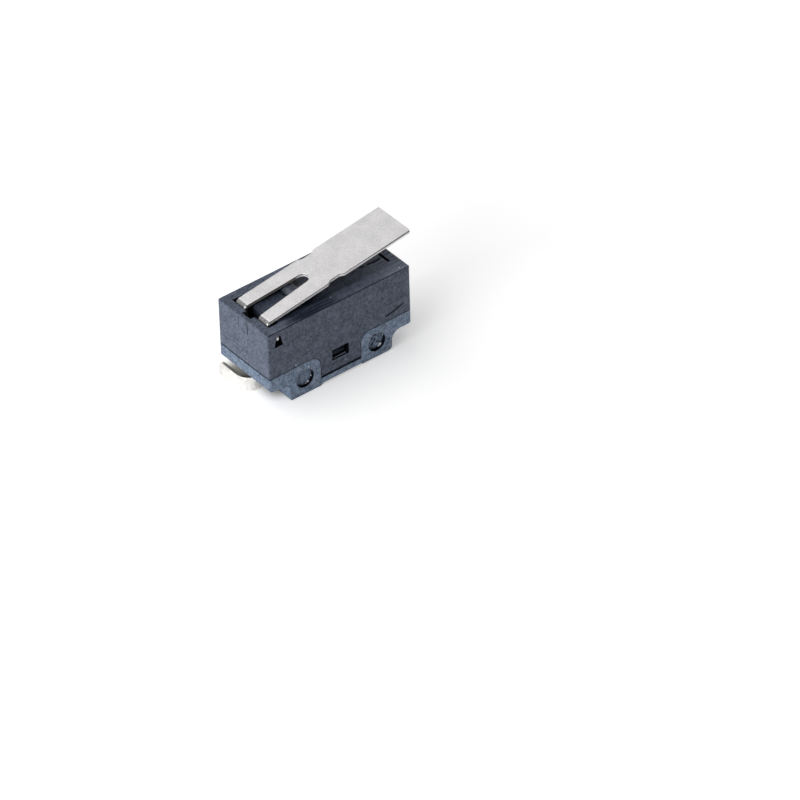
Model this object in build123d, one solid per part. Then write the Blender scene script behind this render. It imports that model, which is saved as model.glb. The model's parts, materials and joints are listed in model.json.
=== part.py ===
from build123d import *
import os
from math import cos, radians, sin, tan

# Subminiature snap-action switch with a hinge lever, normally closed.
# Millimetres. X runs along the body from the hinge end (-X) to the lever's tip (+X), Y across it,
# Z up. The origin is the middle of the base's flat underside.

os.makedirs("parts", exist_ok=True)

# Body
length = 12.8            # cover, end to end
width = 5.8              # across both shells
height = 6.5             # flat underside to the cover's top
seam = 2.6               # parting line of cover and base
wall = 0.6               # cover's sides and ends
roof = 0.7               # cover's top
corner_round = 0.12      # upright corners of both shells
edge_round = 0.06        # edges of the cover's top
shell_fit = 0.03         # between cover and base where they only locate
seam_gap = 0.06          # open line round the seam and beside the snap tongues
seam_depth = 0.15
sink = 0.1               # overlap of a feature with what carries it
end_share = 0.97         # share of a bar's half width that its rounded end takes

# Base: two lugs with a locating pocket each, and raised ends
lug_pitch = 6.5          # centre to centre of the pockets
lug_width = 2.7
left_foot = 0.17         # how far each lug reaches below the flat underside
right_foot = 0.1
left_foot_round = 0.18
right_foot_round = 0.33
foot_ramp = 0.25         # slope from the left lug down to the flat underside
end_lift = 1.42          # flat underside up to the underside of the ends
end_round = 0.25         # lower edge of each end
lug_fillet = 0.8         # between a lug and the end beside it
pocket_bore = 1.55
pocket_depth = 0.3
pocket_height = 1.2      # pocket centre over the flat underside
spigot_height = 0.4      # part of the base that stands inside the cover
trough_depth = 0.7       # swing room for the blade, from the spigot's top
trough_end = 0.2         # trough to the risers
trough_side = 0.3        # trough to the blade's sides

# Snap tongues of the cover over the base's sides
tongue_width = 3.54
tongue_end = 0.6         # tongue's lower edge over the flat underside
tongue_root = 0.9        # radius where tongue and seam meet
tongue_gap = 0.16        # under the tongue
latch_width = 1.52
latch_low = 1.5
latch_high = 2.42
nub_reach = 0.32         # latch nub out of the base's side
nub_inset = 0.2          # nub to the window's ends and lower edge
nub_height = 0.32
nub_round = 0.24         # its upper edge, where the window slides over it
nub_edge = 0.05          # its holding edge
nub_end_round = 0.12
frame_side = 0.42        # shallow field round the latch window
frame_above = 0.31
frame_depth = 0.03

# Lever hinge in the cover
hinge_inset = 0.95       # pivot from the cover's left end
hinge_depth = 0.75       # pivot under the cover's top
slot_left = 0.26         # hinge slot, to each side of the pivot
slot_right = 0.68
slot_width = 4.26
slot_depth = 1.5
notch_width = 0.96
notch_reach = 0.36
window_top = 0.4         # keyhole for the lever's ear: width at its upper and lower edge
window_bottom = 0.78
window_above = 0.3       # its upper and lower edge from the pivot
window_below = 0.58
block_wall = 0.35        # solid behind the slot
block_floor = 0.4        # solid under the slot
ramp_depth = 0.12        # ramps in the top under the lever's arms
ramp_side = 0.05         # ramps to the slot's ends
slit_width = 0.04        # two slits down the left end
slit_depth = 0.12
slit_start = 0.08        # under the cover's top
near_slit = 1.2
far_slit = 0.95
field_length = 3.98      # L-shaped groove round a field of the top
field_width = 3.04
field_end = 0.72         # from the cover's right end
groove_width = 0.17
groove_depth = 0.35

# Lever
sheet = 0.25
lever_angle = 8.6        # rise of the free lever
lever_over = 0.649       # lever's underside over the pivot, square to the sheet
lever_length = 13.1      # pivot to tip
lever_press = 6.0        # degrees from free to fully pressed
bend_radius = 0.2
rear_width = 3.64
front_width = 3.6
tip_corner = 0.12
fork_root = 5.08         # pivot to the round end of the fork
fork_mouth_width = 1.58
fork_root_width = 0.92
relief_start = 5.55      # notches in the lever's edges
relief_length = 1.5
relief_depth = 0.2
relief_slope = 0.33      # run of each notch's ends
relief_round = 0.2
hook_drop = 0.25         # straight part of each hook under the pivot
hook_foot = 0.3          # bent end of each hook, along X and down
hook_foot_drop = 0.25
ear_height = 0.34
ear_round = 0.1
ear_inset = 0.15         # ear's end inside the cover's side

# Plunger
plunger_from_hinge = 3.55
plunger_length = 1.2     # along X
plunger_width = 2.96
plunger_free = 0.6       # over the cover when nothing holds it down
plunger_round = 0.45
guide_fit = 0.05         # plunger in the cover's opening
lever_play = 0.03        # lever's underside over the plunger
flange_thickness = 0.45
flange_rim = 0.4         # flange past the bar
foot_from_plunger = 2.3  # rib that bears on the blade, along X from the bar
foot_length = 0.6
foot_round = 0.2
foot_play = 0.14         # rib over the blade

# Terminals
strip = 0.25             # terminal metal
strip_height = 1.17      # standing strip outside the base
strip_y = -0.15          # middle of the strip where it leaves the lug
lug_bend = 0.15          # inside radius where it turns out of the lug
tail_bend = 0.85         # inside radius of the strip's fold
tail_proud = 0.2         # folded strip past the base's end
tail_tip = 2.8           # strip's end
tip_round = 0.3
riser_inset = 0.4        # riser behind the lug's outer wall
anchor_low = 0.3         # lower edge of the metal moulded into a lug
riser_low_width = 1.35
riser_width = 1.7
riser_shoulder = 0.6     # wide part of the riser, down from the spigot's top
riser_top = 3.85         # common riser over the flat underside
arm_bend = 0.2           # inside radius of the closed terminal's arm
arm_margin = 0.1         # arm past the contact's head

# Contact system
blade = 0.1
blade_width = 2.6
blade_round = 0.4
blade_play = 0.03        # blade over the riser
blade_rail = 0.55        # rails beside the blade's window
blade_root = 0.4         # riser to the window
blade_tip = 0.35         # window to the contact's head
window_round = 0.1
blade_lip = 0.4
lip_play = 0.05          # lip to the riser
spring_sag = 0.85
spring_tip_drop = 0.65   # spring tongue's tip under the blade
spring_tip_play = 0.06   # and beside the riser
spring_side = 0.12       # spring tongue to each rail
contact_head = 1.2
contact_height = 0.3
contact_shank = 0.6
contact_clear = 0.25     # contact head to the riser
contact_gap = 0.03       # closed contacts
peened_head = 0.96
peened_height = 0.15
stop_clear = 0.08        # stop boss under the pressed contact
blade_press = 3.5        # degrees

half = length / 2
side = width / 2
lug_outer = (lug_pitch + lug_width) / 2
lug_inner = (lug_pitch - lug_width) / 2
inner_x = half - wall - shell_fit
inner_y = side - wall - shell_fit
spigot_top = seam + spigot_height
ceiling = height - roof
hinge_x = -half + hinge_inset
hinge_z = height - hinge_depth
slot_bottom = height - slot_depth
plunger_x = hinge_x + plunger_from_hinge
foot_x = plunger_x + foot_from_plunger
riser_x = lug_outer - riser_inset
blade_low = riser_top + blade_play
blade_high = blade_low + blade
contact_x = riser_x - strip / 2 - contact_clear - contact_head / 2


def block(x0, x1, y0, y1, z0, z1):
    """Box between three pairs of limits."""
    middle = Pos((x0 + x1) / 2, (y0 + y1) / 2, (z0 + z1) / 2)
    return middle * Box(x1 - x0, y1 - y0, z1 - z0)


def shell_block(z0, z1):
    """Box of the body's length and width with rounded upright corners."""
    return extrude(Plane.XY.offset(z0) * RectangleRounded(length, width, corner_round), z1 - z0)


def disc(diameter, z0, thickness):
    """Round piece on the contacts' line."""
    return extrude(Plane.XY.offset(z0) * Pos(contact_x, 0) * Circle(diameter / 2), thickness)


def rounded(corners):
    """Flat outline through corners given as (x, y, radius)."""
    face = make_face(Polyline(*[(x, y) for x, y, r in corners], close=True))
    for x, y, radius in corners:
        if radius > 0:
            corner = face.vertices().sort_by_distance((x, y, 0))[0]
            face = fillet(corner, radius)
    return face


def across(face, y0, y1):
    """An outline drawn in X and Z, carried from y0 to y1."""
    return extrude(Plane.XZ.offset(-y1) * face, y1 - y0)


def along(face, x0, x1):
    """An outline drawn in Y and Z, carried from x0 to x1."""
    return extrude(Plane.YZ.offset(x0) * face, x1 - x0)


def both_sides(solid):
    return solid + mirror(solid, Plane.XZ)


def folded(path, thickness, bends):
    """Edge view of a sheet along its middle line, each fold with its own inside radius."""
    points = [Vector(*p) for p in path]
    runs = [(b - a).normalized() for a, b in zip(points, points[1:])]
    starts = [runs[0]] + runs
    ends = runs + [runs[-1]]
    left = []
    right = []
    for point, before, after, bend in zip(points, starts, ends, [0, *bends, 0]):
        turn = before.X * after.Y - before.Y * after.X
        normal = (before + after).normalized().rotate(Axis.Z, 90)
        reach = thickness / 2 / normal.dot(after.rotate(Axis.Z, 90))
        outer = bend + thickness if bend else 0
        left_corner = point + normal * reach
        right_corner = point - normal * reach
        left.append((left_corner.X, left_corner.Y, bend if turn > 0 else outer))
        right.append((right_corner.X, right_corner.Y, outer if turn > 0 else bend))
    return rounded(left + right[::-1])


# Base -------------------------------------------------------------------

def tongue_outline(spread, low):
    """Side view of a tongue with rounded roots, its edge moved outwards by the spread."""
    reach = tongue_width / 2 + spread
    root = tongue_root - spread
    high = seam - spread
    crown = Line((reach + root, high), (-reach - root, high))
    left_root = RadiusArc((-reach - root, high), (-reach, high - root), root)
    edge = Polyline((-reach, high - root), (-reach, low), (reach, low), (reach, high - root))
    right_root = RadiusArc((reach, high - root), (reach + root, high), root)
    return make_face([crown, left_root, *edge.edges(), right_root])


def base_outline():
    """Side view: raised ends, a lug each side, and the flat underside between them."""
    return rounded([
        (-half, seam, 0), (-half, end_lift, end_round), (-lug_outer, end_lift, lug_fillet),
        (-lug_outer, -left_foot, left_foot_round), (-lug_inner, -left_foot, 0),
        (-lug_inner + foot_ramp, 0, 0), (lug_inner - foot_ramp / 2, 0, 0),
        (lug_inner, -right_foot, 0), (lug_outer, -right_foot, right_foot_round),
        (lug_outer, end_lift, lug_fillet), (half, end_lift, end_round), (half, seam, 0),
    ])


def seam_groove():
    """Open line round the base, under the cover's lower edge."""
    low = seam - seam_gap
    ring = block(-half, half, -side, side, low, seam)
    core_x = half - seam_depth
    core_y = side - seam_depth
    return ring - block(-core_x, core_x, -core_y, core_y, low, seam)


def round_pocket(x, y_sign):
    """Blind locating pocket bored inwards from a long side."""
    y0, y1 = sorted((y_sign * side, y_sign * (side - pocket_depth)))
    return across(Pos(x, pocket_height) * Circle(pocket_bore / 2), y0, y1)


def latch_nub():
    """Catch on the base's side: sharp below, rounded above and at its ends."""
    tip = inner_y + nub_reach
    low = latch_low + nub_inset
    high = low + nub_height
    reach = latch_width / 2 - nub_inset
    profile = rounded([(inner_y - sink, low, 0), (tip, low, nub_edge),
                       (tip, high, nub_round), (inner_y - sink, high, 0)])
    front = Pos(0, (low + high) / 2) * RectangleRounded(2 * reach, nub_height, nub_end_round)
    return along(profile, -reach, reach) & across(front, inner_y - sink, tip)


def base(inserts):
    shell = across(base_outline(), -side, side) & shell_block(-left_foot, seam)
    shell += block(-inner_x, inner_x, -inner_y, inner_y, seam, spigot_top)
    shell -= seam_groove()
    tongue_pocket = across(tongue_outline(seam_gap, tongue_end - tongue_gap), inner_y, side)
    crown = tongue_width / 2 + tongue_root
    tongue_pocket += block(-crown, crown, inner_y, side, seam - seam_gap, seam)
    shell -= both_sides(tongue_pocket)
    shell += both_sides(latch_nub())
    trough_x = riser_x - strip / 2 - trough_end
    trough_y = blade_width / 2 + trough_side
    trough_low = spigot_top - trough_depth
    shell -= block(-trough_x, trough_x, -trough_y, trough_y, trough_low, spigot_top)
    stop_top = pressed_contact_low() - stop_clear
    shell += disc(contact_head, trough_low, stop_top - trough_low)
    for x in (-lug_pitch / 2, lug_pitch / 2):
        for y_sign in (-1, 1):
            shell -= round_pocket(x, y_sign)
    for insert in inserts:
        shell -= insert
    return shell


# Cover ------------------------------------------------------------------

def hinge_slot():
    """T-shaped opening in the top for the lever's two hooks."""
    left = hinge_x - slot_left
    right = hinge_x + slot_right
    slot = block(left, right, -slot_width / 2, slot_width / 2, slot_bottom, height)
    notch = block(left - notch_reach, left + sink, -notch_width / 2, notch_width / 2, slot_bottom, height)
    return slot + notch


def ear_window():
    """Trapezoid through each side, narrow above, that carries one ear of the lever."""
    top = hinge_z + window_above
    low = hinge_z - window_below
    outline = Polyline((hinge_x - window_top / 2, top), (hinge_x + window_top / 2, top),
                       (hinge_x + window_bottom / 2, low), (hinge_x - window_bottom / 2, low), close=True)
    return across(make_face(outline), -side, side)


def arm_ramp():
    """Shallow ramp in the top that lets the lever's arms lie down past the slot."""
    start = hinge_x + slot_right
    stop = plunger_x - plunger_length / 2 - guide_fit
    ramp = Polyline((start, height), (start, height - ramp_depth), (stop, height), close=True)
    reach = slot_width / 2 - ramp_side
    return across(make_face(ramp), -reach, reach)


def plunger_opening():
    reach_x = plunger_length / 2 + guide_fit
    reach_y = plunger_width / 2 + guide_fit
    return block(plunger_x - reach_x, plunger_x + reach_x, -reach_y, reach_y, ceiling, height)


def field_groove():
    """Groove along the far side and the right end of a field of the top."""
    right = half - field_end
    left = right - field_length
    y = field_width / 2
    low = height - groove_depth
    side_groove = block(left, right, y - groove_width, y, low, height)
    return side_groove + block(right - groove_width, right, -y, y, low, height)


def end_slit(y, slit_length):
    """Narrow slit down the left end, under one corner of the hinge slot's notch."""
    top = height - slit_start
    return block(-half, -half + slit_depth, y - slit_width / 2, y + slit_width / 2, top - slit_length, top)


def latch_window():
    """Window in both tongues with a shallow field round it."""
    window = block(-latch_width / 2, latch_width / 2, -side, side, latch_low, latch_high)
    reach = latch_width / 2 + frame_side
    field = block(-reach, reach, side - frame_depth, side, latch_low - frame_above, latch_high + frame_above)
    return window + both_sides(field)


def cover():
    shell = shell_block(seam, height)
    shell = fillet(shell.faces().sort_by(Axis.Z)[-1].edges(), edge_round)
    shell += both_sides(across(tongue_outline(0, tongue_end), side - wall, side))
    shell -= latch_window()
    room_x = half - wall
    room_y = side - wall
    hinge_block = hinge_x + slot_right + block_wall
    shell -= block(-room_x, room_x, -room_y, room_y, seam, ceiling)
    shell += block(-room_x, hinge_block, -room_y, room_y, slot_bottom - block_floor, ceiling)
    shell -= hinge_slot()
    shell -= ear_window()
    shell -= arm_ramp()
    shell -= plunger_opening()
    shell -= field_groove()
    shell -= end_slit(notch_width / 2, far_slit)
    shell -= end_slit(-notch_width / 2, near_slit)
    return shell


# Lever ------------------------------------------------------------------

def lever_plan():
    """The lever seen square to its sheet, X along it from the pivot."""
    rear = rear_width / 2
    front = front_width / 2
    waist = front - relief_depth
    mouth = fork_mouth_width / 2
    root = fork_root_width / 2
    back = -sheet
    relief_end = relief_start + relief_length
    near = [(back, -rear, 0), (relief_start, -front, relief_round),
            (relief_start + relief_slope, -waist, relief_round),
            (relief_end - relief_slope, -waist, relief_round),
            (relief_end, -front, relief_round), (lever_length, -front, tip_corner)]
    far = [(x, -y, r) for x, y, r in reversed(near)]
    fork = [(back, mouth, 0), (fork_root, root, root * end_share),
            (fork_root, -root, root * end_share), (back, -mouth, 0)]
    return rounded(near + far + fork)


def lever():
    middle = lever_over + sheet / 2
    path = [(lever_length, middle), (0, middle), (0, -hook_drop), (hook_foot, -hook_drop - hook_foot_drop)]
    edge_view = folded(path, sheet, [bend_radius, bend_radius])
    reach = rear_width / 2
    low = -hook_drop - hook_foot_drop - sheet
    body = across(edge_view, -reach, reach)
    body &= extrude(Plane.XY.offset(low) * lever_plan(), lever_over + sheet - low)
    ear = RectangleRounded(sheet, ear_height, ear_round)
    body += both_sides(across(ear, reach - sink, side - ear_inset))
    return Pos(hinge_x, 0, hinge_z) * Rot(0, -lever_angle, 0) * body


def lever_underside(x, angle):
    """Height of the lever's underside at x when the sheet rises by the angle."""
    a = radians(angle)
    return hinge_z + (lever_over + (x - hinge_x) * sin(a)) / cos(a)


# Plunger ----------------------------------------------------------------

def plunger_top():
    """Rounded top held just under the free lever."""
    edge = plunger_x - plunger_length / 2 + plunger_round
    a = radians(lever_angle)
    centre = lever_underside(edge, lever_angle) - (plunger_round + lever_play) / cos(a)
    return centre + plunger_round


def plunger():
    top = plunger_top()
    x0 = plunger_x - plunger_length / 2
    x1 = plunger_x + plunger_length / 2
    flange_top = top - plunger_free - roof
    flange_low = flange_top - flange_thickness
    crown = rounded([(x0, flange_low, 0), (x1, flange_low, 0), (x1, top, plunger_round),
                     (x0, top, plunger_round)])
    body = across(crown, -plunger_width / 2, plunger_width / 2)
    rim_y = plunger_width / 2 + flange_rim
    foot_left = foot_x - foot_length / 2
    foot_right = foot_x + foot_length / 2
    body += block(x0 - flange_rim, foot_right, -rim_y, rim_y, flange_low, flange_top)
    foot_low = blade_high + foot_play
    foot = rounded([(foot_left, flange_low + sink, 0), (foot_left, foot_low, 0),
                    (foot_right, foot_low, foot_round), (foot_right, flange_low + sink, foot_round)])
    body += across(foot, -blade_width / 2, blade_width / 2)
    return body


# Terminals --------------------------------------------------------------

def terminal_tail(sign, foot):
    """Standing strip that leaves a lug, folds round the end and stops short of the far side."""
    fold_x = half + tail_proud - strip / 2
    path = [(riser_x, -riser_low_width + strip / 2), (riser_x, strip_y),
            (fold_x, strip_y), (fold_x, tail_tip)]
    plan = folded(path, strip, [lug_bend, tail_bend])
    tail = extrude(Plane.XY.offset(-foot) * plan, strip_height)
    corners = [edge for edge in tail.edges()
               if edge.center().Y > tail_tip - strip and abs(edge.length - strip) < 0.001]
    tail = fillet(corners, tip_round)
    tail -= block(0, lug_outer, -side, side, -foot, anchor_low)
    return tail if sign > 0 else mirror(tail, Plane.YZ)


def riser(sign, top):
    """Upright plate in the lug, wider above the base."""
    x0 = sign * riser_x - strip / 2
    x1 = x0 + strip
    plate = block(x0, x1, -riser_low_width, strip / 2, anchor_low, spigot_top)
    return plate + block(x0, x1, -riser_width / 2, riser_width / 2, spigot_top - riser_shoulder, top)


def common_terminal():
    return terminal_tail(-1, left_foot) + riser(-1, riser_top)


def contact_arm_low():
    """Underside of the normally closed arm, over the blade's contact and its partner's head."""
    return blade_high + contact_height + contact_gap + contact_height


def closed_terminal():
    """Normally closed terminal: its riser folds over to hold the fixed contact."""
    arm_middle = contact_arm_low() + strip / 2
    arm_end = contact_x - contact_head / 2 - arm_margin
    path = [(riser_x, seam), (riser_x, arm_middle), (arm_end, arm_middle)]
    arm = across(folded(path, strip, [arm_bend]), -riser_width / 2, riser_width / 2)
    terminal = terminal_tail(1, right_foot) + riser(1, spigot_top) + arm
    return terminal - disc(contact_shank, contact_arm_low(), strip)


# Contact system ---------------------------------------------------------

def pressed_contact_low():
    """Lowest point of the moving contact when the blade is down."""
    reach = contact_x + contact_head / 2 + riser_x
    return blade_low - peened_height - reach * tan(radians(blade_press))


def spring_tongue(root_x, reach):
    """Bowed tongue between the blade's rails, from its root to beside the riser."""
    tip_x = -riser_x + strip / 2 + spring_tip_play
    tip_z = blade_low - spring_tip_drop
    low_z = blade_low - spring_sag
    middle_x = (tip_x + root_x) / 2
    lower = ThreePointArc((tip_x, tip_z), (middle_x, low_z), (root_x, blade_low))
    upper = ThreePointArc((tip_x, tip_z + blade), (middle_x, low_z + blade), (root_x, blade_high))
    tip = Line((tip_x, tip_z), (tip_x, tip_z + blade))
    root = Line((root_x, blade_low), (root_x, blade_high))
    return across(make_face([lower, upper, tip, root]), -reach, reach)


def moving_blade():
    """Flat blade with a window, a hooked lip at the riser and a bowed spring tongue."""
    start = -riser_x - strip / 2 - lip_play - blade
    stop = contact_x + contact_head / 2
    y = blade_width / 2
    window_start = -riser_x + strip / 2 + blade_root
    window_end = contact_x - contact_head / 2 - blade_tip
    window_y = y - blade_rail
    outline = rounded([(start, -y, 0), (stop, -y, blade_round), (stop, y, blade_round), (start, y, 0)])
    outline -= rounded([(window_start, -window_y, window_round), (window_end, -window_y, window_round),
                        (window_end, window_y, window_round), (window_start, window_y, window_round)])
    leaf = extrude(Plane.XY.offset(blade_low) * outline, blade)
    leaf -= disc(contact_shank, blade_low, blade)
    lip = block(start, start + blade, -riser_width / 2, riser_width / 2, blade_low - blade_lip, blade_low)
    return leaf + lip + spring_tongue(window_end + sink, window_y - spring_side)


def rivet(grip_low, grip, head_low, peened_low):
    """Contact rivet: shank through a sheet, working head on one side, peened end on the other."""
    shank = disc(contact_shank, grip_low, grip)
    head = disc(contact_head, head_low, contact_height)
    return shank + head + disc(peened_head, peened_low, peened_height)


def moving_contact():
    return rivet(blade_low, blade, blade_high, blade_low - peened_height)


def fixed_contact():
    arm_low = contact_arm_low()
    return rivet(arm_low, strip, arm_low - contact_height, arm_low + strip)


common = common_terminal()
closed = closed_terminal()
nodes = {
    "base": base([common, closed]),
    "cover": cover(),
    "lever": lever(),
    "plunger": plunger(),
    "common_terminal": common,
    "closed_terminal": closed,
    "moving_blade": moving_blade(),
    "moving_contact": moving_contact(),
    "fixed_contact": fixed_contact(),
}
for name, solid in nodes.items():
    export_step(solid, f"parts/{name}.step")
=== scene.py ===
import json
import math

import bpy
from mathutils import Matrix, Vector


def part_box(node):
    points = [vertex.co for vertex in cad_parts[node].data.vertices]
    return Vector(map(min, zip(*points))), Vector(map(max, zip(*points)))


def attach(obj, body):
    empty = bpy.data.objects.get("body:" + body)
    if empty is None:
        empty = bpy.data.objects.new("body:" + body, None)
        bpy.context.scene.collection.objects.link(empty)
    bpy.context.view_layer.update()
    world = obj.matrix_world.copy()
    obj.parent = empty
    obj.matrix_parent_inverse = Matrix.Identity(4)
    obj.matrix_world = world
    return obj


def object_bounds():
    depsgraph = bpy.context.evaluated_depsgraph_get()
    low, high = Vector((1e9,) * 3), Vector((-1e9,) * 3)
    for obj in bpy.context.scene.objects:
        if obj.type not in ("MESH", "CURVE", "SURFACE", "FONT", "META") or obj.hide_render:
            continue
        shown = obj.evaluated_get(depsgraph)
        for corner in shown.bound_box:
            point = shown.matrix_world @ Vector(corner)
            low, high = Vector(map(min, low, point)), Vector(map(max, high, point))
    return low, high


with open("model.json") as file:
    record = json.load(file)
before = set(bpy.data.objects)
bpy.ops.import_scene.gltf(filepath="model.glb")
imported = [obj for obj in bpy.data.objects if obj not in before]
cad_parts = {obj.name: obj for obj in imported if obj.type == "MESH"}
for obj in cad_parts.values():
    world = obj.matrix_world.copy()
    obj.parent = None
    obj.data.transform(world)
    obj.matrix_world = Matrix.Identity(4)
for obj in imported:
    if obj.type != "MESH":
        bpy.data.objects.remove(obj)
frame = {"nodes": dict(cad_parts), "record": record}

# Places on the switch are in millimetres, in the record's frame: X from the hinge end to the
# lever's tip, Y from the photographed side to the far one, Z up from the base's flat underside.
MM = 0.001
X, Y, Z = (1.0, 0.0, 0.0), (0.0, 1.0, 0.0), (0.0, 0.0, 1.0)

nodes = frame["nodes"]
record = frame["record"]
cad_low, cad_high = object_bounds()
mounts = {m["name"]: m for m in record["mounts"]}
hinge = next(j for j in record["behaviour"]["joints"] if j["name"] == "lever_pivot")
hinge_x, _, hinge_z = (c / MM for c in hinge["pos_m"])

# Faces and lines of the case
COVER_LOW, COVER_HIGH = (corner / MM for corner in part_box("cover"))
NEAR = COVER_LOW.y        # the photographed long side
TOP = COVER_HIGH.z        # the cover's top
PARTING_HEIGHT = 2.57     # middle of the seam's open line
TONGUE_LOW = 0.6          # lower edge of the cover's snap tongues
TONGUE_HALF = 1.75        # and half their width
NUB_HALF = 0.62           # half the latch nub's width
LATCH_WINDOW = ((-0.85, 1.42), (0.85, 2.5))     # (x, z) of two corners, as for the next
EAR_WINDOW = ((hinge_x - 0.5, hinge_z - 0.65), (hinge_x + 0.5, hinge_z + 0.45))

# Stage
WORLD_FILL = 0.16         # what the surroundings add to the lamps
FLOOR_LIFT = 0.35         # towards white where the floor is looked at, clear of the switch
FLOOR_GAP = 0.01          # millimetres under the switch, so that no two faces share a plane
FLOOR_REACH = 3.0         # metres from the middle
LAMPS = (                 # name, azimuth, elevation, distance and size in metres, radiance
    ("key_left", -78, 12, 0.4, 0.3, 7.0),
    ("back_left", -140, 52, 0.45, 0.6, 1.5),
)
CAMERA_TURN = (-36.62, 37.74, -2.24)    # azimuth, elevation and roll in degrees
CAMERA_DISTANCE = 506                   # millimetres from the body's middle
CAMERA_AIM = (6.05, -5.835)             # millimetres to the right and up from that middle
CAMERA_LENS, CAMERA_SENSOR = 318.9, 36.0

# Shades that more than one material uses
# painted shade: near black for recesses, gaps and grooves, where shade falls
PAINTED_RECESS_SHADE = (0.003, 0.004, 0.007)
SEAM_LINE = (0.012, 0.018, 0.032)
# pale dust specks, and painted glints in the base's pockets
DUST_AND_GLINT = (0.80, 0.81, 0.84)


# Node graphs --------------------------------------------------------------

class Graph:
    """A node material with a Principled shader; p is the place on the object in millimetres."""

    def __init__(self, name):
        self.material = bpy.data.materials.new(name)
        self.material.use_nodes = True
        self.tree = self.material.node_tree
        self.tree.nodes.clear()
        self.shader = self.tree.nodes.new("ShaderNodeBsdfPrincipled")
        out = self.tree.nodes.new("ShaderNodeOutputMaterial")
        self.tree.links.new(self.shader.outputs["BSDF"], out.inputs["Surface"])
        self.coords = self.tree.nodes.new("ShaderNodeTexCoord")
        self.p = self.vector("MULTIPLY", self.coords.outputs["Object"], (1 / MM,) * 3)

    def put(self, node, key, value):
        """Link a socket, or set it to a plain value."""
        socket = node.inputs[key]
        if isinstance(value, bpy.types.NodeSocket):
            self.tree.links.new(value, socket)
        else:
            socket.default_value = value

    def set(self, **values):
        """Sockets of the shader, by name with _ for a space."""
        for key, value in values.items():
            self.put(self.shader, key.replace("_", " "), value)

    def math(self, kind, *values, clamp=False):
        node = self.tree.nodes.new("ShaderNodeMath")
        node.operation = kind
        node.use_clamp = clamp
        for i, value in enumerate(values):
            self.put(node, i, value)
        return node.outputs[0]

    def vector(self, kind, *values):
        node = self.tree.nodes.new("ShaderNodeVectorMath")
        node.operation = kind
        for i, value in enumerate(values):
            self.put(node, i, value)
        return node.outputs["Value" if kind in ("LENGTH", "DOT_PRODUCT") else 0]

    def times(self, first, *others):
        """Product of several values."""
        for other in others:
            first = self.math("MULTIPLY", first, other)
        return first

    def blend(self, *parts):
        """Sum of (value, share) pairs."""
        total = None
        for value, share in parts:
            part = self.math("MULTIPLY", value, share)
            total = part if total is None else self.math("ADD", total, part)
        return total

    def stretch(self, scale, turn=(0, 0, 0)):
        """The place, turned by degrees and scaled along each axis, for drawn-out noise."""
        node = self.tree.nodes.new("ShaderNodeMapping")
        self.put(node, "Vector", self.p)
        node.inputs["Rotation"].default_value = [math.radians(t) for t in turn]
        node.inputs["Scale"].default_value = scale
        return node.outputs[0]

    def noise(self, scale, detail=3.0, rough=0.55, where=None, distortion=0.0):
        node = self.tree.nodes.new("ShaderNodeTexNoise")
        self.put(node, "Vector", where or self.p)
        self.put(node, "Scale", scale)
        self.put(node, "Detail", detail)
        self.put(node, "Roughness", rough)
        self.put(node, "Distortion", distortion)
        return node.outputs["Fac"]

    def range(self, value, low, high, to_low=0.0, to_high=1.0):
        """Smooth step from to_low to to_high while the value goes from low to high."""
        node = self.tree.nodes.new("ShaderNodeMapRange")
        node.interpolation_type = "SMOOTHSTEP"
        for key, v in zip(("Value", "From Min", "From Max", "To Min", "To Max"),
                          (value, low, high, to_low, to_high)):
            self.put(node, key, v)
        return node.outputs[0]

    def mix(self, fac, a, b, blend="MIX"):
        node = self.tree.nodes.new("ShaderNodeMix")
        node.data_type = "RGBA"
        node.blend_type = blend
        self.put(node, 0, fac)
        for key, v in ((6, a), (7, b)):
            self.put(node, key, v if isinstance(v, bpy.types.NodeSocket) else (*v, 1.0))
        return node.outputs[2]

    def bump(self, height, depth, strength, normal):
        node = self.tree.nodes.new("ShaderNodeBump")
        self.put(node, "Strength", strength)
        self.put(node, "Distance", depth * MM)
        self.put(node, "Height", height)
        self.put(node, "Normal", normal)
        return node.outputs[0]

    def soft_edge(self, radius):
        """Normals eased over the edges, and a mask that is 1 on them."""
        node = self.tree.nodes.new("ShaderNodeBevel")
        node.samples = 6
        self.put(node, "Radius", radius * MM)
        geometry = self.tree.nodes.new("ShaderNodeNewGeometry")
        turned = self.vector("DOT_PRODUCT", node.outputs[0], geometry.outputs["Normal"])
        return node.outputs[0], self.range(turned, 0.995, 0.8)

    def sheltered(self, reach, low, high):
        """1 deep in a gap or recess, 0 where the surroundings within reach are open."""
        node = self.tree.nodes.new("ShaderNodeAmbientOcclusion")
        node.samples = 8
        self.put(node, "Distance", reach * MM)
        return self.range(node.outputs["AO"], high, low)

    def along(self, axis):
        """The place on the object along one axis."""
        return self.vector("DOT_PRODUCT", self.p, axis)

    def facing(self, direction):
        """Cosine between the surface's own direction and this one."""
        return self.vector("DOT_PRODUCT", self.coords.outputs["Normal"], direction)

    def facing_up(self):
        """1 on faces that look up."""
        return self.range(self.facing(Z), 0.7, 0.95)

    def within(self, low, high, soft=0.02):
        """1 inside the box between two corners."""
        middle = [(a + b) / 2 for a, b in zip(low, high)]
        half = [(b - a) / 2 for a, b in zip(low, high)]
        offset = self.vector("ABSOLUTE", self.vector("SUBTRACT", self.p, middle))
        beyond = self.vector("MAXIMUM", self.vector("SUBTRACT", offset, half), (0.0, 0.0, 0.0))
        return self.range(self.vector("LENGTH", beyond), soft, 0.0)

    def near(self, point, inner, outer, squeeze=(1, 1, 1)):
        """1 within inner millimetres of a point, 0 past outer."""
        offset = self.vector("SUBTRACT", self.p, point)
        offset = self.vector("MULTIPLY", offset, squeeze)
        return self.range(self.vector("LENGTH", offset), outer, inner)


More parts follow.
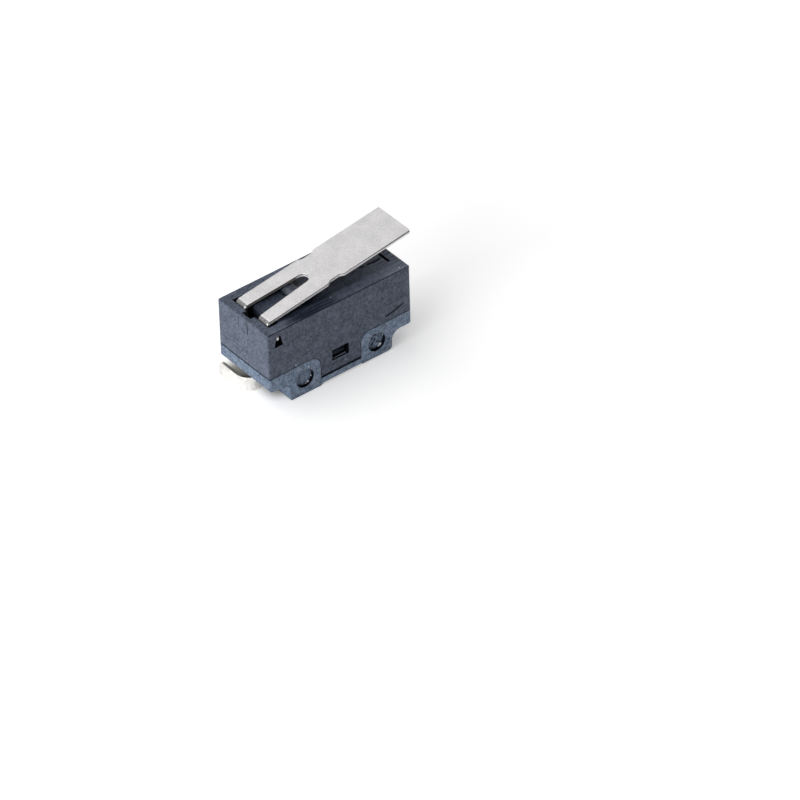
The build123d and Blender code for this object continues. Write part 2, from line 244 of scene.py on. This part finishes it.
def assign(material, *names):
    """Put a material in every slot of some CAD nodes."""
    for name in names:
        slots = nodes[name].material_slots
        if not slots:
            nodes[name].data.materials.append(material)
        for slot in slots:
            slot.material = material


# Marks on the mouldings ---------------------------------------------------
# Each mark is a function of a graph that gives its mask, or makes such a function.

def top_edge(g):
    """Dull line along the long edges of the cover's top."""
    turned = g.times(g.facing(Z), g.math("ABSOLUTE", g.facing(Y)))
    return g.range(turned, 0.12, 0.3)


def scuffs(g):
    """Fine dark lines along the cover's top, in patches, fainter towards the far side."""
    lines = g.noise(1.0, 2.0, 0.5, g.stretch((0.16, 7.0, 7.0), (0, 0, -2)))
    worn = g.range(g.noise(0.45, 2.0, 0.5), 0.38, 0.6, 0.35, 1.0)
    clear_of_hinge = g.range(g.along(X), -4.5, -1.0)
    faint = g.range(g.along(Y), -1.2, 1.2, 1.0, 0.4)
    return g.times(g.range(lines, 0.48, 0.62), worn, g.facing_up(), clear_of_hinge, faint, 0.72)


def tip_end_light(g):
    """Painted light: the cover's top paler towards the lever's tip."""
    return g.times(g.facing_up(), 0.6, g.range(g.along(X), 2.6, 6.2))


def arm_shadow(g):
    """Painted shadow of the lever's near arm on the cover's top, broken into streaks."""
    streaks = g.noise(1.0, 3.0, 0.6, g.stretch((0.4, 7.0, 7.0), (0, 0, -2)))
    length = g.times(g.range(g.along(X), -5.3, -3.4), g.range(g.along(X), 1.9, -1.5))
    beside = g.range(g.along(Y), -1.3, -1.8)
    return g.times(g.facing_up(), length, beside, g.range(streaks, 0.34, 0.58, 0.5, 0.92))


def opening_wall_shade(window):
    """The walls of a window through both long sides of the cover, where shade is painted black."""
    def mask(g):
        skin = -NEAR - 0.05
        (x0, z0), (x1, z1) = window
        return g.within((x0, -skin, z0), (x1, skin, z1))
    return mask


def patch(low, high, soft=0.3, strength=0.6):
    """A patch of a face, between two corners."""
    return lambda g: g.times(g.within(low, high, soft), strength)


def nub(low, high, strength):
    """A band of the latch nub between two heights.

    strength is its share on the side of the hinge end and on that of the lever's tip."""
    def mask(g):
        band = g.within((-NUB_HALF, NEAR - 0.1, low), (NUB_HALF, -NEAR + 0.1, high), 0.015)
        return g.times(band, g.range(g.along(X), -0.7, 0.6, *strength))
    return mask


def parting(g):
    """The dark line of the seam round the ends, shaded a little past the groove."""
    off = g.math("ABSOLUTE", g.math("SUBTRACT", g.along(Z), PARTING_HEIGHT))
    on_end = g.range(g.math("ABSOLUTE", g.facing(X)), 0.5, 0.8)
    return g.times(g.range(off, 0.09, 0.05), on_end, 0.9)


def tongue_shadow(g):
    """The lower rim of the snap tongues, dark with the gap under them."""
    low = (-TONGUE_HALF, NEAR - 0.1, TONGUE_LOW - 0.1)
    high = (TONGUE_HALF, -NEAR + 0.1, TONGUE_LOW + 0.05)
    return g.times(g.within(low, high, 0.03), 0.9)


def pocket_wall_shade(g):
    """The walls of the round pockets, where shade is painted near black."""
    ring = None
    for name in ("pocket_front_left", "pocket_front_right"):
        centre = [c / MM for c in mounts[name]["pos_m"]]
        bore = mounts[name]["dims"]["r_mm"]
        one = g.near(centre, bore + 0.07, bore + 0.1, (1, 0, 1))
        ring = one if ring is None else g.math("MAXIMUM", ring, one)
    across = g.math("ABSOLUTE", g.facing(Y))
    return g.times(ring, g.range(across, 0.75, 0.45))


def pocket_glints(name, turns):
    """Places for painted glints where a pocket's wall meets its floor; turns are (degrees round
    its axis, size).
    """
    mount = mounts[name]
    x, y, z = (c / MM for c in mount["pos_m"])
    bore = mount["dims"]["r_mm"]
    deep = math.copysign(abs(y) - mount["dims"]["length_mm"] / 2, y)
    specks = []
    for turn, size in turns:
        t = math.radians(turn)
        specks.append(((x + bore * math.cos(t), deep, z + bore * math.sin(t)), size))
    return specks


def stroke(direction, start, end, bend, thickness, axes):
    """A fine bent mark on the face that looks in a direction, thickest in its middle.

    start and end are places along the two axes, numbered 0 to 2, that span the face."""
    def mask(g):
        split = g.tree.nodes.new("ShaderNodeSeparateXYZ")
        g.tree.links.new(g.p, split.inputs[0])
        run = g.math("SUBTRACT", split.outputs[axes[0]], start[0])
        run = g.math("DIVIDE", run, end[0] - start[0])
        belly = g.math("MULTIPLY", g.math("SUBTRACT", 1.0, run), run)
        line = g.math("MULTIPLY_ADD", run, end[1] - start[1], start[1])
        line = g.math("SUBTRACT", line, g.math("MULTIPLY", belly, bend * 4))
        away = g.math("ABSOLUTE", g.math("SUBTRACT", split.outputs[axes[1]], line))
        reach = g.range(belly, 0.0, 0.12, 0.0, thickness)
        inside = g.range(g.math("SUBTRACT", away, reach), 0.015, -0.015)
        on_face = g.range(g.facing(direction), 0.7, 0.9)
        return g.times(inside, on_face, g.range(belly, 0.0, 0.05, 0.0, 0.95))
    return mask


# Plastics -----------------------------------------------------------------

def moulded(name, dark, light, mottle, contrast, level, edge_light, roughness, occlusion_shade_reach,
            specks, marks):
    """Glass-filled moulding: clouded and speckled, with paler edges, partly rubbed wear and partly
    painted highlight.

    contrast and level hold the spread and the middle of the tone, each for the long faces and
    for the ends. marks are (mask, shade), laid in turn, some of them painted light or shade;
    specks are (place, size): dust, and painted glints. Recesses get painted shade."""
    g = Graph(name)
    eased, edge = g.soft_edge(0.05)
    end = g.range(g.math("ABSOLUTE", g.facing(X)), 0.5, 0.9)
    clouds = g.noise(mottle, 3.0, 0.6)
    grain = g.noise(5.0, 2.0, 0.65)
    fine = g.noise(10.5, 1.0, 0.5)
    flow = g.noise(1.0, 2.0, 0.6, g.stretch((0.35, 1.2, 3.2), (0, 28, 0)), 0.4)
    tone = g.blend((clouds, 0.2), (grain, 0.42), (fine, 0.26), (flow, 0.12))
    spread = g.range(end, 0.0, 1.0, *contrast)
    middle = g.range(end, 0.0, 1.0, *level)
    tone = g.math("MULTIPLY_ADD", g.math("SUBTRACT", tone, 0.5), spread, middle, clamp=True)
    colour = g.mix(tone, dark, light)

    tint = g.range(g.noise(1.3, 2.0, 0.5), 0.35, 0.65)
    tint = g.mix(tint, (0.93, 1.03, 1.05), (1.06, 0.98, 1.03))
    colour = g.mix(0.35, colour, tint, "MULTIPLY")
    # partly rubbed wear, partly painted highlight: the edges paler in patches
    worn = g.times(edge, g.range(g.noise(2.2, 3.0), 0.3, 0.62, 0.1, 0.6))
    colour = g.mix(worn, colour, edge_light)

    # painted shade: gaps and recesses darkened towards near black by an occlusion mask
    occlusion_shade = g.sheltered(occlusion_shade_reach, 0.3, 0.64)
    colour = g.mix(g.times(occlusion_shade, 0.93), colour, PAINTED_RECESS_SHADE)
    dull = occlusion_shade
    for mask, shade in marks:
        laid = mask(g)
        colour = g.mix(laid, colour, shade)
        dull = g.math("MAXIMUM", dull, laid)
    # pale dust specks, and painted glints where given
    for place, size in specks:
        colour = g.mix(g.near(place, size * 0.35, size), colour, DUST_AND_GLINT)

    rough = g.range(tone, 0.2, 0.8, roughness + 0.06, roughness - 0.06)
    pits = g.blend((fine, 0.5), (grain, 0.5))
    g.set(Base_Color=colour, Roughness=rough, Normal=g.bump(pits, 0.014, 0.6, eased), IOR=1.48,
          Specular_IOR_Level=g.range(dull, 0.0, 1.0, 0.3, 0.03))
    return g.material


def make_base_plastic():
    left_glints = pocket_glints("pocket_front_left", ((-57, 0.13), (-72, 0.08), (-20, 0.07)))
    right_glints = pocket_glints("pocket_front_right",
                                 ((-50, 0.15), (-64, 0.11), (10, 0.08), (60, 0.07)))
    return moulded(
        "base_moulding", dark=(0.012, 0.024, 0.044), light=(0.226, 0.292, 0.396), mottle=2.2,
        contrast=(4.2, 3.2), level=(0.66, 0.42), edge_light=(0.30, 0.34, 0.40), roughness=0.5,
        occlusion_shade_reach=0.6,
        # a dust speck, and painted glints in the pockets
        specks=[((-2.9, NEAR, 2.05), 0.06), *left_glints, *right_glints],
        marks=[
            # painted shade on the pockets' walls
            (pocket_wall_shade, PAINTED_RECESS_SHADE),
            (parting, SEAM_LINE),
            # painted shade on the latch nub: near black on its rounded top, dark grey on the band
            # below
            (nub(1.77, 2.3, (0.8, 1.0)), (0.006, 0.008, 0.013)),
            (nub(1.6, 1.77, (0.9, 0.9)), (0.03, 0.036, 0.05)),
        ])


def make_cover_plastic():
    side, top, hinge_end = (0, -1, 0), Z, (-1, 0, 0)
    below_top, above_top = TOP - 0.2, TOP + 0.1
    # painted highlight: a pale line on the latch window's sill, standing in for the lit lower edge
    # of the nub
    sill_highlight = patch((-0.6, -2.72, 1.4), (0.6, -2.62, 1.6), 0.02, 0.9)
    # painted shade on the top between the lever's arms, under the lever
    shade_between_arms = patch((-5.2, -1.0, below_top), (-1.4, 1.0, above_top))
    # painted light on the top past the plunger, under the fork's end
    light_past_plunger = patch((-1.35, -0.6, below_top), (0.25, 1.1, above_top), 0.2)
    # painted shade in the groove's limb across the top near the tip end
    groove_shade = patch((5.49, -1.53, below_top), (5.70, 1.53, above_top), 0.02, 1.0)
    return moulded(
        "cover_moulding", dark=(0.010, 0.016, 0.030), light=(0.109, 0.134, 0.186), mottle=1.6,
        contrast=(3.7, 3.7), level=(0.5, 0.51), edge_light=(0.12, 0.14, 0.18), roughness=0.46,
        occlusion_shade_reach=1.0,
        specks=[((-4.03, NEAR, 2.77), 0.06), ((0.387, NEAR, 1.10), 0.045),
                ((5.69, -2.59, TOP), 0.06), ((4.43, -2.19, TOP), 0.045),
                ((-0.17, -2.15, TOP), 0.045)],
        marks=[
            # painted light on the top towards the tip
            (tip_end_light, (0.24, 0.27, 0.34)),
            (scuffs, (0.010, 0.013, 0.022)),
            # painted shadow beside the lever's near arm
            (arm_shadow, (0.006, 0.009, 0.018)),
            (top_edge, (0.016, 0.02, 0.03)),
            (parting, SEAM_LINE),
            (tongue_shadow, (0.004, 0.005, 0.009)),
            # painted shade on the walls of the two windows
            (opening_wall_shade(LATCH_WINDOW), (0.003, 0.004, 0.006)),
            (opening_wall_shade(EAR_WINDOW), (0.003, 0.004, 0.006)),
            (sill_highlight, (0.34, 0.39, 0.48)),
            (shade_between_arms, (0.014, 0.018, 0.028)),
            (light_past_plunger, (0.20, 0.215, 0.25)),
            (groove_shade, PAINTED_RECESS_SHADE),
            (stroke(side, (3.95, 3.07), (5.83, 3.57), 0.12, 0.08, (0, 2)), (0.006, 0.008, 0.016)),
            (stroke(top, (4.08, -0.8), (5.42, -0.83), 0.1, 0.09, (0, 1)), (0.004, 0.005, 0.009)),
            (stroke(top, (3.4, -0.77), (3.95, -0.87), 0.0, 0.08, (0, 1)), (0.006, 0.008, 0.012)),
            (stroke(hinge_end, (5.2, -0.55), (6.4, -0.505), 0.0, 0.035, (2, 1)),
             (0.03, 0.036, 0.05)),
        ])


def make_plunger_plastic():
    """Smoother and blacker moulding, rubbed along the lever's stroke, with painted highlight on
    its edges and painted shade in its recesses.
    """
    g = Graph("plunger_moulding")
    eased, edge = g.soft_edge(0.04)
    fine = g.noise(9.0, 3.0, 0.6)
    strokes = g.noise(1.0, 3.0, 0.6, g.stretch((9.0, 0.8, 3.0)))
    clouds = g.range(g.noise(3.0, 2.0, 0.6), 0.36, 0.64)
    colour = g.mix(clouds, (0.010, 0.013, 0.022), (0.050, 0.058, 0.078))
    colour = g.mix(g.range(fine, 0.35, 0.65, 0.0, 0.5), colour, (0.03, 0.036, 0.05))
    # painted highlight: the edges paler
    colour = g.mix(g.times(edge, 0.5), colour, (0.10, 0.115, 0.14))
    # painted shade: recesses darkened towards near black by an occlusion mask
    occlusion_shade = g.sheltered(0.8, 0.3, 0.85)
    colour = g.mix(g.times(occlusion_shade, 0.9), colour, (0.004, 0.005, 0.008))
    rough = g.range(strokes, 0.35, 0.65, 0.34, 0.5)
    g.set(Base_Color=colour, Roughness=rough, IOR=1.5, Normal=g.bump(strokes, 0.006, 0.5, eased),
          Specular_IOR_Level=g.range(occlusion_shade, 0.0, 1.0, 0.3, 0.04))
    return g.material


# Metals -------------------------------------------------------------------

LEVER_SHEET = 0.25        # thickness
BEND_END = -4.6           # the bends lie from this x towards the hinge end
TIP_SHEAR = 7.0           # x where the shear band is widest
FORK_LOW, FORK_HIGH = (-6.4, -0.9, 5.0), (-1.2, 0.9, 9.0)


def lever_glints():
    """Bright places as (place, inner radius, strength): the ears' ends and the bends' corners."""
    ears = [((hinge_x + 0.05, y, hinge_z), 0.08, 1.0) for y in (-2.75, 2.75)]
    bends = [((-5.58, y, 6.52), 0.02, 0.6) for y in (-1.8, 0.81)]
    return ears + bends


def make_lever_steel():
    """Satin rolled sheet: speckled top, faint rolling lines, sheared rims with a painted
    reflection, rougher bends painted darker as shade, painted highlights on edges, ears and bend
    corners.
    """
    g = Graph("lever_sheet")
    eased, edge = g.soft_edge(0.06)
    face = mounts["lever_face"]
    place = [c / MM for c in face["pos_m"]]
    axis = face["axis"]
    below_face = g.vector("DOT_PRODUCT", g.vector("SUBTRACT", g.p, place), axis)
    depth = g.math("MULTIPLY", below_face, -1.0)
    flat = g.math("ABSOLUTE", g.facing(axis))
    outward = g.range(g.facing((-1.0, 0.0, 0.0)), 0.25, 0.5)
    bend = g.times(outward, g.range(g.along(X), BEND_END, BEND_END - 0.3))
    rim = g.math("SUBTRACT", g.range(flat, 0.5, 0.2), bend, clamp=True)

    speckle = g.noise(13.0, 3.0, 0.7)
    cloud = g.noise(0.9, 3.0, 0.5)
    rolled = g.noise(1.0, 3.0, 0.65, g.stretch((1.2, 26.0, 26.0)))
    tone = g.blend((speckle, 0.55), (cloud, 0.2), (rolled, 0.25))
    colour = g.mix(g.range(tone, 0.38, 0.62), (0.37, 0.363, 0.363), (0.525, 0.516, 0.52))
    # painted highlight: the edges paler, in patches
    edge_highlight = g.times(edge, g.range(cloud, 0.4, 0.55, 0.3, 0.8))
    colour = g.mix(edge_highlight, colour, (0.92, 0.92, 0.92))
    # painted shade: the bends that face the hinge end darker
    bend_shade = g.mix(g.range(speckle, 0.4, 0.6), (0.05, 0.05, 0.053), (0.15, 0.15, 0.153))
    colour = g.mix(g.times(bend, 0.9), colour, bend_shade)

    # On the rims a dark shear line lies just under the top, and another at the underside.
    torn = g.noise(1.0, 3.0, 0.7, g.stretch((16.0, 16.0, 3.0)))
    width = g.range(g.along(X), 0.0, TIP_SHEAR, 0.075, 0.12)
    past_width = g.math("SUBTRACT", depth, width)
    upper = g.times(g.range(depth, 0.0, 0.015), g.range(past_width, 0.02, 0.0))
    lower = g.range(depth, LEVER_SHEET - 0.015, LEVER_SHEET)
    shear = g.times(rim, g.math("MAXIMUM", upper, lower))
    # painted reflection on the rims: near white, and dark brown inside the fork
    fork_rim_shade = g.times(g.within(FORK_LOW, FORK_HIGH, 0.1), 0.85)
    rim_reflection = g.mix(fork_rim_shade, (0.86, 0.86, 0.86), (0.075, 0.062, 0.054))
    colour = g.mix(g.times(rim, 0.9), colour, rim_reflection)
    colour = g.mix(g.times(shear, g.range(torn, 0.3, 0.6, 0.75, 1.0)), colour, (0.03, 0.029, 0.03))

    metal = g.math("MULTIPLY_ADD", rim, -0.8, 1.0)
    rough = g.range(tone, 0.35, 0.65, 0.44, 0.33)
    rough = g.math("ADD", rough, g.times(g.math("MAXIMUM", shear, bend), 0.2))
    for point, inner, strength in lever_glints():
        glint = g.times(g.near(point, inner, 0.16), strength)
        colour = g.mix(glint, colour, (0.97, 0.97, 0.97))
        rough = g.math("MULTIPLY_ADD", glint, -0.25, rough)
    height = g.blend((speckle, 0.7), (rolled, 0.3))
    g.set(Base_Color=colour, Metallic=metal, Roughness=rough,
          Normal=g.bump(height, 0.006, 0.5, eased))
    return g.material


def make_tin_plate():
    """Bright dipped plating with a warm tone, drawn streaks and a duller cut edge."""
    g = Graph("tin_plate")
    eased, _ = g.soft_edge(0.04)
    cloud = g.noise(2.4, 4.0, 0.6)
    drawn = g.noise(1.0, 4.0, 0.6, g.stretch((7.0, 7.0, 1.1)))
    tone = g.blend((cloud, 0.5), (drawn, 0.5))
    colour = g.mix(g.range(tone, 0.34, 0.66), (0.60, 0.585, 0.56), (0.88, 0.865, 0.845))
    stain = g.times(g.range(drawn, 0.56, 0.7), 0.5)
    colour = g.mix(stain, colour, (0.55, 0.49, 0.38))
    cut = g.range(g.math("ABSOLUTE", g.facing(Z)), 0.75, 0.95)
    colour = g.mix(g.times(cut, g.range(cloud, 0.3, 0.6, 0.4, 0.85)), colour, (0.36, 0.34, 0.26))
    rough = g.range(tone, 0.35, 0.65, 0.42, 0.27)
    g.set(Base_Color=colour, Metallic=1.0, Roughness=rough,
          Normal=g.bump(tone, 0.012, 0.5, eased))
    return g.material


def make_inner_metal(name, dark, light, roughness, lines):
    """Strip or rivet metal inside the case, with rolling or turning lines."""
    g = Graph(name)
    eased, _ = g.soft_edge(0.02)
    grain = g.noise(1.0, 4.0, 0.6, g.stretch(lines))
    colour = g.mix(g.range(grain, 0.35, 0.65), dark, light)
    g.set(Base_Color=colour, Metallic=1.0, Normal=g.bump(grain, 0.004, 0.4, eased),
          Roughness=g.range(grain, 0.3, 0.7, roughness + 0.08, roughness - 0.06))
    return g.material


# Numeral ------------------------------------------------------------------

NUMERAL_SIZE = 1.15
NUMERAL_RISE = 0.05       # half the figure's thickness, without its bevel
NUMERAL_BEVEL = 0.03


def pocket_numeral(figure, material):
    """Raised moulded figure on the floor of the near pocket beside the lever's tip."""
    pocket = mounts["pocket_front_right"]
    curve = bpy.data.curves.new("pocket_numeral", "FONT")
    curve.body = figure
    curve.size = NUMERAL_SIZE * MM
    curve.align_x, curve.align_y = "CENTER", "CENTER"
    curve.extrude = NUMERAL_RISE * MM
    curve.bevel_depth = NUMERAL_BEVEL * MM
    curve.bevel_resolution = 2
    curve.resolution_u = 6
    curve.materials.append(material)
    numeral = bpy.data.objects.new("pocket_numeral", curve)
    outward = Vector(pocket["axis"])
    floor = Vector(pocket["pos_m"]) - outward * pocket["dims"]["length_mm"] / 2 * MM
    numeral.location = floor + outward * NUMERAL_RISE * MM
    numeral.rotation_euler = (math.radians(90), 0, 0)
    bpy.context.scene.collection.objects.link(numeral)
    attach(numeral, "housing")


# Stage --------------------------------------------------------------------

def direction_of(azimuth, elevation):
    """Unit vector for two angles in degrees; azimuth 0 is -Y and 90 is +X."""
    a, e = math.radians(azimuth), math.radians(elevation)
    return Vector((math.sin(a) * math.cos(e), -math.cos(a) * math.cos(e), math.sin(e)))


def make_camera():
    """Long lens from the hinge end and above, aimed beside the switch as the photo is framed."""
    azimuth, elevation, roll = CAMERA_TURN
    centre = Vector((0.0, 0.0, TOP / 2 * MM))
    back = direction_of(azimuth, elevation)
    level = Vector((math.cos(math.radians(azimuth)), math.sin(math.radians(azimuth)), 0.0))
    rise = back.cross(level)
    cos_roll, sin_roll = math.cos(math.radians(roll)), math.sin(math.radians(roll))
    right = level * cos_roll + rise * sin_roll
    up = rise * cos_roll - level * sin_roll
    aim = centre + right * CAMERA_AIM[0] * MM + up * CAMERA_AIM[1] * MM
    place = centre + back * CAMERA_DISTANCE * MM
    axis = (place - aim).normalized()
    right = (right - axis * right.dot(axis)).normalized()
    up = axis.cross(right)
    data = bpy.data.cameras.new("camera")
    data.lens = CAMERA_LENS
    data.sensor_width = CAMERA_SENSOR
    data.clip_start, data.clip_end = 0.05, 20.0
    camera = bpy.data.objects.new("camera", data)
    bpy.context.scene.collection.objects.link(camera)
    turn = Matrix((right, up, axis)).transposed().to_4x4()
    camera.matrix_world = Matrix.Translation(place) @ turn
    bpy.context.scene.camera = camera


def softbox(name, azimuth, elevation, distance, size, radiance):
    """A square area light that faces the switch."""
    direction = direction_of(azimuth, elevation)
    data = bpy.data.lights.new(name, "AREA")
    data.size = size
    data.energy = radiance * math.pi * size * size
    light = bpy.data.objects.new(name, data)
    bpy.context.scene.collection.objects.link(light)
    light.location = direction * distance
    light.rotation_mode = "QUATERNION"
    light.rotation_quaternion = direction.to_track_quat("Z", "Y")


def seen_rays(tree):
    """1 where a camera, glossy or transmission ray looks, 0 for light that falls on things."""
    path = tree.nodes.new("ShaderNodeLightPath")
    seen = path.outputs["Is Camera Ray"]
    for name in ("Is Glossy Ray", "Is Transmission Ray"):
        either = tree.nodes.new("ShaderNodeMath")
        either.operation = "MAXIMUM"
        tree.links.new(seen, either.inputs[0])
        tree.links.new(path.outputs[name], either.inputs[1])
        seen = either.outputs[0]
    return seen


def make_floor():
    """White paper, with a painted shadow under the body and in the gap behind the hinge end's
    terminal.
    """
    r = FLOOR_REACH
    mesh = bpy.data.meshes.new("floor")
    mesh.from_pydata([(-r, -r, 0), (r, -r, 0), (r, r, 0), (-r, r, 0)], [], [(0, 1, 2, 3)])
    floor = bpy.data.objects.new("floor", mesh)
    floor.location.z = cad_low.z - FLOOR_GAP * MM
    bpy.context.scene.collection.objects.link(floor)

    g = Graph("floor_paper")
    fibre = g.noise(0.6, 3.0, 0.5)
    paper = g.mix(fibre, (0.90, 0.90, 0.90), (0.92, 0.92, 0.92))
    x, y, _ = (c / MM for c in mounts["common_face"]["pos_m"])
    # painted shadow: the paper darker and not lifted in the terminal's gap and under the body
    gap_shadow = g.near((x + 1.25, y + 0.5, 0.0), 0.5, 1.7, (1, 0.8, 1))
    body_shadow = g.within((-4.5, -1.2, -1.0), (4.5, 1.2, 1.0), 1.6)
    clear = g.math("SUBTRACT", 1.0, g.math("MAXIMUM", gap_shadow, body_shadow))
    lift = g.times(clear, FLOOR_LIFT)
    g.set(Base_Color=g.mix(clear, (0.42, 0.40, 0.35), paper), Roughness=0.85,
          Emission_Color=(1.0, 1.0, 1.0, 1.0), Emission_Strength=g.times(seen_rays(g.tree), lift))
    mesh.materials.append(g.material)


def make_world():
    """White where it is looked at, a low even fill for everything else."""
    world = bpy.data.worlds.new("studio")
    bpy.context.scene.world = world
    world.use_nodes = True
    tree = world.node_tree
    background = tree.nodes["Background"]
    background.inputs["Color"].default_value = (1.0, 1.0, 1.0, 1.0)
    strength = tree.nodes.new("ShaderNodeMapRange")
    tree.links.new(seen_rays(tree), strength.inputs["Value"])
    strength.inputs["To Min"].default_value = WORLD_FILL
    tree.links.new(strength.outputs[0], background.inputs["Strength"])


# The dressed switch -------------------------------------------------------

base_plastic = make_base_plastic()
assign(base_plastic, "base")
assign(make_cover_plastic(), "cover")
assign(make_plunger_plastic(), "plunger")
assign(make_lever_steel(), "lever")
assign(make_tin_plate(), "common_terminal", "closed_terminal")
spring_strip = make_inner_metal("spring_strip", (0.62, 0.36, 0.17), (0.86, 0.58, 0.34), 0.3,
                                (1.5, 18.0, 18.0))
assign(spring_strip, "moving_blade")
contact_alloy = make_inner_metal("contact_alloy", (0.62, 0.62, 0.60), (0.90, 0.89, 0.87), 0.28,
                                 (9.0, 9.0, 3.0))
assign(contact_alloy, "moving_contact", "fixed_contact")
pocket_numeral("2", base_plastic)

make_camera()
make_floor()
make_world()
for lamp in LAMPS:
    softbox(*lamp)
bpy.context.scene.view_settings.view_transform = "Standard"
